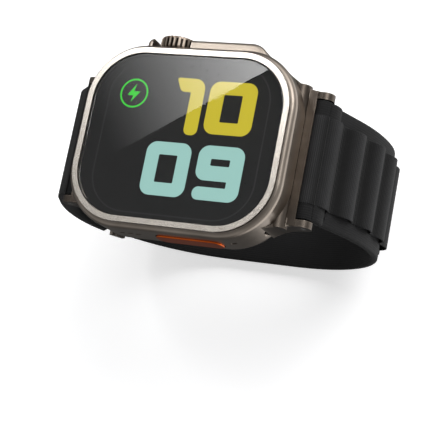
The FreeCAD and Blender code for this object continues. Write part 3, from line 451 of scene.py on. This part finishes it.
for part in frame["record"]["subparts"]:
    mesh = nodes[part["node"]].data
    is_ear = part["node"].startswith("band_connector")
    mesh.materials.clear()
    mesh.materials.append(ears_in_painted_shade if is_ear else finishes[part["material_slot"]])


# ---------------------------------------------------------------- making meshes
def put(name, data):
    """Adds an object to the scene."""
    thing = bpy.data.objects.new(name, data)
    bpy.context.scene.collection.objects.link(thing)
    return thing


def make_piece(name, points, faces, body, finish, weave):
    """A closed piece of fabric from points in millimetres, riding on a body."""
    mesh = bpy.data.meshes.new(name)
    mesh.from_pydata([tuple(MM * v for v in p) for p in points], [], faces)
    layer = mesh.uv_layers.new(name="weave")
    flat = np.asarray(weave, float)[[loop.vertex_index for loop in mesh.loops]]
    layer.data.foreach_set("uv", flat.astype(np.float32).ravel())
    tidy = bmesh.new()
    tidy.from_mesh(mesh)
    bmesh.ops.recalc_face_normals(tidy, faces=tidy.faces)
    tidy.to_mesh(mesh)
    tidy.free()
    mesh.shade_smooth()
    mesh.materials.append(finish)
    thing = put(name, mesh)
    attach(thing, body)
    return thing


class Route:
    """A smooth line of straights and arcs in the XZ plane; out is away from the wrist."""

    def __init__(self, start):
        self.points = [np.array(start, float)]

    def line_to(self, place, step=0.5):
        start = self.points[-1]
        place = np.array(place, float)
        count = max(1, int(np.linalg.norm(place - start) / step))
        self.points += [start + (place - start) * n / count for n in range(1, count + 1)]
        return self

    def arc(self, centre, radius, first, last):
        """Turns from one angle to another, in degrees, about a centre."""
        turn = abs(last - first)
        length = turn / 360 * 2 * math.pi * radius
        count = max(2, int(length / 0.45), int(turn / 5))
        for n in range(1, count + 1):
            self.points.append(polar(centre, radius, first + (last - first) * n / count))
        return self

    def settle(self):
        """Works out the distance along the line and the outward direction at each point."""
        pts = np.array(self.points)
        keep = np.r_[True, np.linalg.norm(np.diff(pts, axis=0), axis=1) > 1e-5]
        pts = pts[keep]
        self.far = np.r_[0, np.cumsum(np.linalg.norm(np.diff(pts, axis=0), axis=1))]
        self.line = pts
        way = np.gradient(pts, self.far, axis=0)
        way /= np.linalg.norm(way, axis=1)[:, None]
        self.out = np.c_[-way[:, 1], way[:, 0]]
        self.length = self.far[-1]
        return self

    def at(self, along, out=0.0):
        """Places at given distances along the line, moved outward."""
        along = np.atleast_1d(along)
        place = np.c_[[np.interp(along, self.far, self.line[:, k]) for k in (0, 1)]].T
        away = np.c_[[np.interp(along, self.far, self.out[:, k]) for k in (0, 1)]].T
        away /= np.linalg.norm(away, axis=1)[:, None]
        return place + away * np.atleast_1d(out)[:, None]


def polar(centre, radius, angle):
    """The point at an angle, in degrees, round a centre."""
    turn = math.radians(angle)
    return np.array([centre[0] + radius * math.cos(turn), centre[1] + radius * math.sin(turn)])


def band_section(half_width, thick, edge, ribs=20):
    """Points (across, out) round a band's section, with softly rounded edges."""
    top = [(y, 0.0) for y in np.linspace(half_width - edge, -half_width + edge, ribs)]
    turn = [(-half_width + edge - edge * math.sin(a), -thick / 2 + (thick / 2) * math.cos(a))
            for a in np.linspace(0, math.pi, 8)[1:-1]]
    low = [(y, -thick) for y in np.linspace(-half_width + edge, half_width - edge, ribs)]
    back = [(half_width - edge + edge * math.sin(a), -thick / 2 - (thick / 2) * math.cos(a))
            for a in np.linspace(0, math.pi, 8)[1:-1]]
    return np.array(top + turn + low + back)


def ribbon(name, outer, half_width, thick, body, finish, side=1, edge=0.45, narrow=None):
    """A woven strip: outer is its outer face, as places, outward directions and distances."""
    places, away, far = outer
    points, weave = [], []
    for place, out, along in zip(places, away, far):
        width = half_width if narrow is None else half_width * narrow(along)
        section = band_section(width, thick, edge)
        for across, depth in section:
            spot = place + out * depth
            points.append((side * spot[0], across, spot[1]))
            weave.append((across + (depth if abs(across) > width - edge else 0), along))
    ring = len(section)
    faces = [(i * ring + j, i * ring + (j + 1) % ring, (i + 1) * ring + (j + 1) % ring, (i + 1) * ring + j)
             for i in range(len(places) - 1) for j in range(ring)]
    faces.append(tuple(range(ring)))
    faces.append(tuple((len(places) - 1) * ring + j for j in range(ring)))
    return make_piece(name, points, faces, body, finish, weave)


def along_route(route, low, high, step, out):
    """Samples a route between two distances, moved out by a rule of the distance."""
    far = np.linspace(low, high, max(2, int((high - low) / step) + 1))
    lift = np.array([out(a) for a in far]) if callable(out) else np.full(len(far), float(out))
    places = route.at(far, lift)
    way = np.gradient(places, axis=0)
    way /= np.linalg.norm(way, axis=1)[:, None]
    return places, np.c_[-way[:, 1], way[:, 0]], far


def rolled_end(name, bar, inner, outer, layers, half_width, body, side, start_angle, finish):
    """The band's end rolled round a bar: a tight spiral, seen as layers from the side."""
    turns = 2 * math.pi * layers
    angles = np.linspace(0, turns, layers * 40)
    gap = (outer - inner) / layers
    radius = inner + gap + (outer - inner - gap) * angles / turns
    places = np.array([polar(bar, r, start_angle + math.degrees(a)) for r, a in zip(radius, angles)])
    away = np.array([polar((0, 0), 1.0, start_angle + math.degrees(a)) for a in angles])
    far = np.r_[0, np.cumsum(np.linalg.norm(np.diff(places, axis=0), axis=1))]
    ribbon(name, (places, away, far), half_width, gap * 0.86, body, finish, side, 0.12)


def stitch_row(name, route, along, half_width, body, side, pitch=1.5, rings=9, sides=8):
    """A row of raised stitches across a band: each a short slanted bead of thread."""
    points, faces, weave = [], [], []
    last = (rings - 1) * sides
    for number in range(int(2 * half_width / pitch)):
        middle = -half_width + (number + 0.5) * pitch
        for step in range(rings):
            part = step / (rings - 1)
            swell = 0.13 * math.sin(math.pi * min(max(part, 0.06), 0.94)) ** 0.5
            across = middle + (part - 0.5) * pitch * 0.86
            lift = 0.08 * math.sin(math.pi * part) - 0.04
            slant = along + (part - 0.5) * 0.22
            for turn in range(sides):
                angle = 2 * math.pi * turn / sides
                spot = route.at(slant + swell * math.cos(angle), lift + swell * math.sin(angle))[0]
                points.append((side * spot[0], across, spot[1]))
                weave.append((across * 0.3, slant + turn * 0.1))
        base = number * rings * sides
        faces += [(start + j, start + (j + 1) % sides, start + sides + (j + 1) % sides, start + sides + j)
                  for start in range(base, base + last, sides) for j in range(sides)]
        faces += [tuple(start + j for j in range(sides)) for start in (base, base + last)]
    make_piece(name, points, faces, body, thread, weave)


# ---------------------------------------------------------------- the six o'clock band
BAND_HALF, BAND_THICK, LOOP_HALF = 12.9, 1.5, 9.6
WRAP, BAR_HOLE = 2.15, 0.95                 # the band's end rolled round a bar: outer and inner radius
BEND, LEVEL = 27.0, -21.5                   # radius of the wrist loop's ends, and the height of their middles
SHOULDER, FLARE = 42.0, 22.0                # radius of the climb to the bar, and how far it leans, in degrees
RIGHT, LEFT = 35.9, 35.1                    # how far the wrist loop reaches to either side
LAP = 8                                     # how far the tail climbs past level, in degrees
bar_low, bar_high = reach("band_bar_6")
bar = np.array([(bar_low[0] + bar_high[0]) / 2, (bar_low[2] + bar_high[2]) / 2])


def looped_route():
    """From the bar, down the right, under the wrist and up behind the plain band."""
    upper = np.array([RIGHT - SHOULDER, LEVEL])
    right = np.array([RIGHT - BEND, LEVEL])
    left = np.array([BEND - LEFT, LEVEL])
    shoulder = polar(upper, SHOULDER, FLARE)
    slope = np.array([math.sin(math.radians(FLARE)), -math.cos(math.radians(FLARE))])
    start = shoulder - slope * np.dot(shoulder - bar, slope)
    route = Route(start).line_to(shoulder).arc(upper, SHOULDER, FLARE, 0).arc(right, BEND, 0, -90)
    return route.line_to((left[0], LEVEL - BEND)).arc(left, BEND, -90, -180 - LAP).settle()


loops = looped_route()
VALLEY, CREST, LAYER = 1.4, 1.7, 0.25       # between loops, a loop's height, and its fabric's thickness
SEWN = LAYER + 0.05                         # outer face of a loop where it is sewn down
TAIL, TAIL_NARROWS = 3.0, 0.16              # length of the narrowing tail, and the share it loses
LOOP_STEP = 0.28
loop_count = int((loops.length - FIRST_LOOP - 2.0) / PITCH)


def loop_height(t):
    """Height of a loop's outer face over one pitch: a slow rise, a round crest and a quick fall."""
    low, climb, fall = 0.5 * VALLEY / PITCH, 0.60, 1 - 0.5 * VALLEY / PITCH
    if t <= low or t >= fall:
        return SEWN
    if t < climb:
        share = (t - low) / (climb - low)
        return SEWN + (CREST - SEWN) * math.sin(share * math.pi / 2) ** 1.15
    share = (t - climb) / (fall - climb)
    return SEWN + (CREST - SEWN) * math.cos(share * math.pi / 2) ** 0.8


def small_loop(t):
    """Height of the half loop beside the bar, which starts on the rolled end."""
    return SEWN + 1.15 * max(0.0, math.sin(min(1.0, t / 0.9) * math.pi)) ** 0.7


def tail_width(along):
    """Share of the full width, narrowing at the tail."""
    past = max(0.0, along - loops.length + TAIL)
    return 1 - TAIL_NARROWS * (past / TAIL) ** 2


def fold_lift(along):
    """How far the folded end lies off the band: level with the roll, then down to nothing."""
    swell = 0.25 * math.sin(min(1, max(0, along) / 3.4) * math.pi)
    return fold + swell - fold * max(0.0, (along - 3.0) / 1.4) ** 2 * 0.9


def fabric_loop(name, low, high, height):
    ribbon(name, along_route(loops, low, high, LOOP_STEP, height), LOOP_HALF, LAYER + 0.08, "band_6",
           loop_weave, edge=0.2)


base_6 = ribbon("woven_base_6", along_route(loops, 0.0, loops.length, 0.6, 0.0), BAND_HALF, BAND_THICK,
                "band_6", rail_weave, edge=0.5, narrow=tail_width)
rolled_end("rolled_end_6", bar, BAR_HOLE + 0.05, WRAP, 3, BAND_HALF, "band_6", 1, 130, rail_weave)
fold = WRAP - np.linalg.norm(loops.line[0] - bar)
ribbon("fold_6", along_route(loops, -0.01, 4.4, 0.3, fold_lift), BAND_HALF - 0.05, 0.7, "band_6", rail_weave,
       edge=0.3)

root_radius = WRAP + 0.12
root_line = Route(polar(bar, root_radius, 150.0)).arc(bar, root_radius, 150.0, FLARE).settle()
ribbon("loop_root", along_route(root_line, 0.0, root_line.length, 0.3, 0.0), LOOP_HALF, 0.3, "band_6",
       loop_weave, edge=0.1)
fabric_loop("loop_0", 0.3, FIRST_LOOP, lambda along: small_loop(along / FIRST_LOOP))
for number in range(loop_count):
    begin = FIRST_LOOP + number * PITCH
    fabric_loop(f"loop_{number + 1}", begin, begin + PITCH,
                lambda along: loop_height((along - begin) / PITCH))
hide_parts("band_base_6", "band_loops_6")
stitch_row("stitches_6_fold", loops, 4.9, BAND_HALF - 1.0, "band_6", 1)
stitch_row("stitches_6_tail", loops, loops.length - 2.4, BAND_HALF - 2.6, "band_6", 1)

# ---------------------------------------------------------------- the twelve o'clock band
HOOK_TURN, PIN_WRAP, PIN_HOLE = 26.0, 1.75, 0.85
OPEN_SHOULDER, CLIMB, HUB = 45.0, 5.0, 10.0     # radius of the climb, its straight, and the turn over the bar
band_centre = np.array([LEFT - BEND, LEVEL])
lining_reach = BEND + CREST + 0.3
cover_reach = lining_reach + BAND_THICK
pin = polar(band_centre, lining_reach + PIN_WRAP, -HOOK_TURN)


def hooked_route():
    """Drawn as if it were on the right side, like the other band; side=-1 mirrors it."""
    upper = np.array([band_centre[0] + cover_reach - OPEN_SHOULDER, LEVEL])
    shoulder = polar(upper, OPEN_SHOULDER, FLARE)
    climb = np.array([-math.sin(math.radians(FLARE)), math.cos(math.radians(FLARE))])
    hub = polar(shoulder + climb * CLIMB, -HUB, FLARE)
    gap = bar - hub
    lead = math.degrees(math.atan2(gap[1], gap[0]) - math.acos((HUB - WRAP) / np.linalg.norm(gap)))
    route = Route(polar(bar, WRAP, lead)).line_to(polar(hub, HUB, lead)).arc(hub, HUB, lead, FLARE)
    route.line_to(shoulder).arc(upper, OPEN_SHOULDER, FLARE, 0)
    return route.arc(band_centre, cover_reach, 0, 1.5 - HOOK_TURN).settle()


def hook_width(along):
    """Share of the full width, narrowing to fit between the hook's arms."""
    return 1 - 0.115 * min(1.0, max(0.0, (along - hooked.length + 3.4) / 1.4))


hooked = hooked_route()
plain_weave = finishes["band_fabric"]
base_12 = ribbon("woven_base_12", along_route(hooked, 0.0, hooked.length, 0.5, 0.0), BAND_HALF, BAND_THICK,
                 "band_12", plain_weave, side=-1, edge=0.5, narrow=hook_width)
rolled_end("rolled_end_12", bar, BAR_HOLE + 0.05, WRAP, 3, BAND_HALF, "band_12", -1, 60, plain_weave)
rolled_end("hook_roll_12", pin, PIN_HOLE + 0.05, PIN_WRAP, 2, 11.4, "band_12", -1, 20, plain_weave)
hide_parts("band_base_12")
stitch_row("stitches_12_hook", hooked, hooked.length - 4.6, BAND_HALF - 1.6, "band_12", -1)


# ---------------------------------------------------------------- what the display shows
def rounded(corners):
    """A closed outline from (across, along, corner radius), as points."""
    outline = []
    count = len(corners)
    for n, (x, y, r) in enumerate(corners):
        here = np.array([x, y])
        before = np.array(corners[n - 1][:2]) - here
        after = np.array(corners[(n + 1) % count][:2]) - here
        before /= np.linalg.norm(before)
        after /= np.linalg.norm(after)
        half = math.acos(max(-1.0, min(1.0, float(before @ after)))) / 2
        cut = r / math.tan(half)
        first, last = here + before * cut, here + after * cut
        hub = here + (before + after) / np.linalg.norm(before + after) * (r / math.sin(half))
        a, b = first - hub, last - hub
        sweep = math.atan2(a[0] * b[1] - a[1] * b[0], float(a @ b))
        for step in range(9):
            turn = sweep * step / 8
            outline.append(hub + np.array([a[0] * math.cos(turn) - a[1] * math.sin(turn),
                                           a[0] * math.sin(turn) + a[1] * math.cos(turn)]))
    return outline


def block(left, top, right, bottom, corner):
    """A rounded rectangle."""
    return rounded([(x, y, corner) for x, y in ((left, top), (right, top), (right, bottom), (left, bottom))])


def lit_shape(name, outlines, finish, level, thick=0.03):
    """A thin figure just inside the crystal, with holes where outlines lie inside each other."""
    drawing = bpy.data.curves.new(name, "CURVE")
    drawing.dimensions = "2D"
    drawing.fill_mode = "BOTH"
    drawing.extrude = thick * MM / 2
    for outline in outlines:
        line = drawing.splines.new("POLY")
        line.points.add(len(outline) - 1)
        for point, (x, y) in zip(line.points, outline):
            point.co = (x * MM, y * MM, 0.0, 1.0)
        line.use_cyclic_u = True
    pattern = bpy.data.objects.new(name, drawing)
    mesh = bpy.data.meshes.new_from_object(pattern)
    bpy.data.objects.remove(pattern)
    mesh.transform(Matrix.Translation((0, 0, level * MM)))
    mesh.name = name
    mesh.materials.clear()
    mesh.materials.append(finish)
    thing = put(name, mesh)
    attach(thing, "case")


def ring(x, y, radius, count=72):
    return [polar((x, y), radius, 360 * n / count) for n in range(count)]


glass_low, glass_high = reach("crystal")
face_level = glass_low[2] + 0.07
mask_x, mask_y = glass_high[0] - 0.15, glass_high[1] - 0.15
lit_shape("crystal_mask", [block(-mask_x, -mask_y, mask_x, mask_y, 10.6)], finishes["display_black"],
          face_level - 0.035, 0.01)
yellow = lit_display("yellow_figures", shade(205, 188, 40), 1.0)
mint = lit_display("mint_figures", shade(158, 205, 197), 1.0)
green = lit_display("green_sign", shade(36, 208, 36), 1.0)
lit_shape("figure_hour_1", [rounded([(-3.3, 13.4, 0.4), (3.55, 13.3, 2.4), (3.6, 0.8, 1.3), (0.45, 0.8, 1.3),
                                     (0.45, 10.25, 0.3), (-1.9, 10.3, 1.4)])], yellow, face_level)
lit_shape("figure_hour_0", [block(4.8, 13.1, 15.6, 1.4, 2.3), block(8.2, 10.2, 12.4, 4.1, 0.25)],
          yellow, face_level)
lit_shape("figure_minute_0", [block(-7.0, -1.1, 3.4, -12.9, 2.3), block(-3.9, -3.9, 0.35, -10.0, 0.25)],
          mint, face_level)
lit_shape("figure_minute_9", [rounded([(5.1, -1.05, 2.3), (15.5, -1.05, 2.3), (15.5, -12.9, 2.3),
                                       (5.2, -12.9, 1.3), (5.2, -10.05, 1.3), (12.4, -10.05, 0.2),
                                       (12.4, -8.65, 0.2), (5.1, -8.65, 2.1)]),
                              block(8.1, -3.9, 12.4, -5.4, 0.25)], mint, face_level)
lit_shape("charging_ring", [ring(-12.8, 9.2, 3.3), ring(-12.8, 9.2, 2.93)], green, face_level)
lit_shape("charging_bolt", [[(-12.59, 11.31), (-14.3, 8.73), (-12.91, 8.65), (-13.22, 7.23), (-11.4, 9.63),
                             (-12.88, 9.64)]], green, face_level)

# ---------------------------------------------------------------- studio
floor_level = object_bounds()[0][2]
glass_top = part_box("crystal")[1][2]


def studio_floor():
    """A pale floor that metal does not mirror."""
    f = Finish("studio_floor", Roughness=0.9, Specular_IOR_Level=0.1, Emission_Color=(1.0, 1.0, 1.0, 1.0),
               Emission_Strength=0.5)
    f.set(Base_Color=f.blend(f.noise(60.0, 2.0), (0.86, 0.86, 0.87, 1.0), (0.88, 0.88, 0.885, 1.0)))
    mesh = bpy.data.meshes.new("studio_floor")
    half = 2.5
    mesh.from_pydata([(-half, -half, floor_level), (half, -half, floor_level), (half, half, floor_level),
                      (-half, half, floor_level)], [], [(0, 1, 2, 3)])
    mesh.materials.append(f.material)
    thing = put("studio_floor", mesh)
    thing.visible_glossy = False


def light(name, place, size, power):
    """A square lamp, facing the middle of the watch's back."""
    lamp = bpy.data.lights.new(name, "AREA")
    lamp.size = size
    lamp.energy = power
    thing = put(name, lamp)
    thing.location = place
    thing.rotation_euler = (-Vector(place)).to_track_quat("-Z", "Y").to_euler()


def mirrored_spot(eye, x, y, height):
    """Where, at a height over the crystal, the camera sees by reflection in the crystal at (x, y)."""
    here = Vector((x * MM, y * MM, glass_top))
    ray = here - eye
    return here + Vector((ray.x, ray.y, -ray.z)) * (height / -ray.z)


def window_card(eye):
    """A glowing card over the watch whose straight edge the crystal mirrors as a clean diagonal."""
    height = 0.5
    near = mirrored_spot(eye, 23.0, 19.9, height)
    far = mirrored_spot(eye, -15.0, -5.4, height)
    away = (near - far).cross(Vector((0, 0, 1))).normalized() * -0.34
    corners = [near, far, far + away, near + away]
    card = bpy.data.meshes.new("window_card")
    card.from_pydata([tuple(c) for c in corners], [], [(0, 1, 2, 3)])
    uv = card.uv_layers.new(name="card")
    for loop, spot in zip(uv.data, ((0, 0), (1, 0), (1, 1), (0, 1))):
        loop.uv = spot
    f = Finish("window_card", Base_Color=(0.0, 0.0, 0.0, 1.0), Roughness=1.0, Specular_IOR_Level=0.0,
               Emission_Strength=17.0)
    flat = f.node("UVMap", {"uv_map": "card"})
    run = f.node("SeparateXYZ", None, {0: flat})
    depth = f.node("SeparateXYZ", None, {0: flat}, out=1)
    glow = (1 - run.between(0.0, 1.0)) ** 1.6 * (1 - depth.between(0.35, 1.0))
    f.set(Emission_Color=f.blend(glow, (0.0, 0.0, 0.0, 1.0), (1.0, 1.0, 1.0, 1.0)))
    seen = f.node("AddShader", None, {0: f.principled(), 1: f.node("BsdfTransparent")})
    f.feed(f.output.inputs["Surface"], seen)
    card.materials.append(f.material)
    put("window_card", card)


def studio_air():
    """Light from all round: dim below, brighter above, and a bright patch low on the six o'clock side."""
    world = bpy.data.worlds.new("studio_air")
    world.use_nodes = True
    bpy.context.scene.world = world
    air = Pattern(world.node_tree)
    way = air.node("TexCoord")
    aside, up = [air.node("SeparateXYZ", None, {0: way}, out=axis) for axis in (0, 2)]
    tones = ((0.0, 0.10), (0.42, 0.16), (0.62, 0.55), (0.95, 0.42))
    stops = [(place, (tone, tone, tone, 1.0)) for place, tone in tones]
    sky = air.node("ValToRGB", {"stops": stops}, {0: up.between(-1.0, 1.0)})
    patch = up.between(0.0, -0.25) * aside.between(0.12, 0.42) * 1.5
    glow = air.node("Background", None, {"Color": sky + patch, "Strength": 0.9})
    air.add("OutputWorld", None, {"Surface": glow})


def studio_camera():
    """The camera, placed from the middle of the crystal; gives its place."""
    lens = bpy.data.cameras.new("studio_camera")
    lens.sensor_width = 36.0
    lens.lens = 108.84
    lens.clip_start = 0.01
    thing = put("studio_camera", lens)
    low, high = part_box("crystal")
    face = Vector(((low.x + high.x) / 2, (low.y + high.y) / 2, high.z))
    right, up, back = (0.9172, 0.1893, -0.3505), (-0.0992, 0.9607, 0.2593), (0.3858, -0.2030, 0.9000)
    turn = Matrix((right, up, back)).transposed().to_4x4()
    thing.matrix_world = Matrix.Translation(face + Vector((114.2, -69.85, 239.05)) * MM) @ turn
    bpy.context.scene.camera = thing
    return thing.matrix_world.translation.copy()


studio_floor()
eye = studio_camera()
window_card(eye)
studio_air()
light("key_light", (0.25, 0.60, 0.55), 0.7, 3.0)
light("top_light", (0.9, 0.9, 1.3), 0.9, 12.0)
bpy.context.scene.view_settings.view_transform = "Standard"
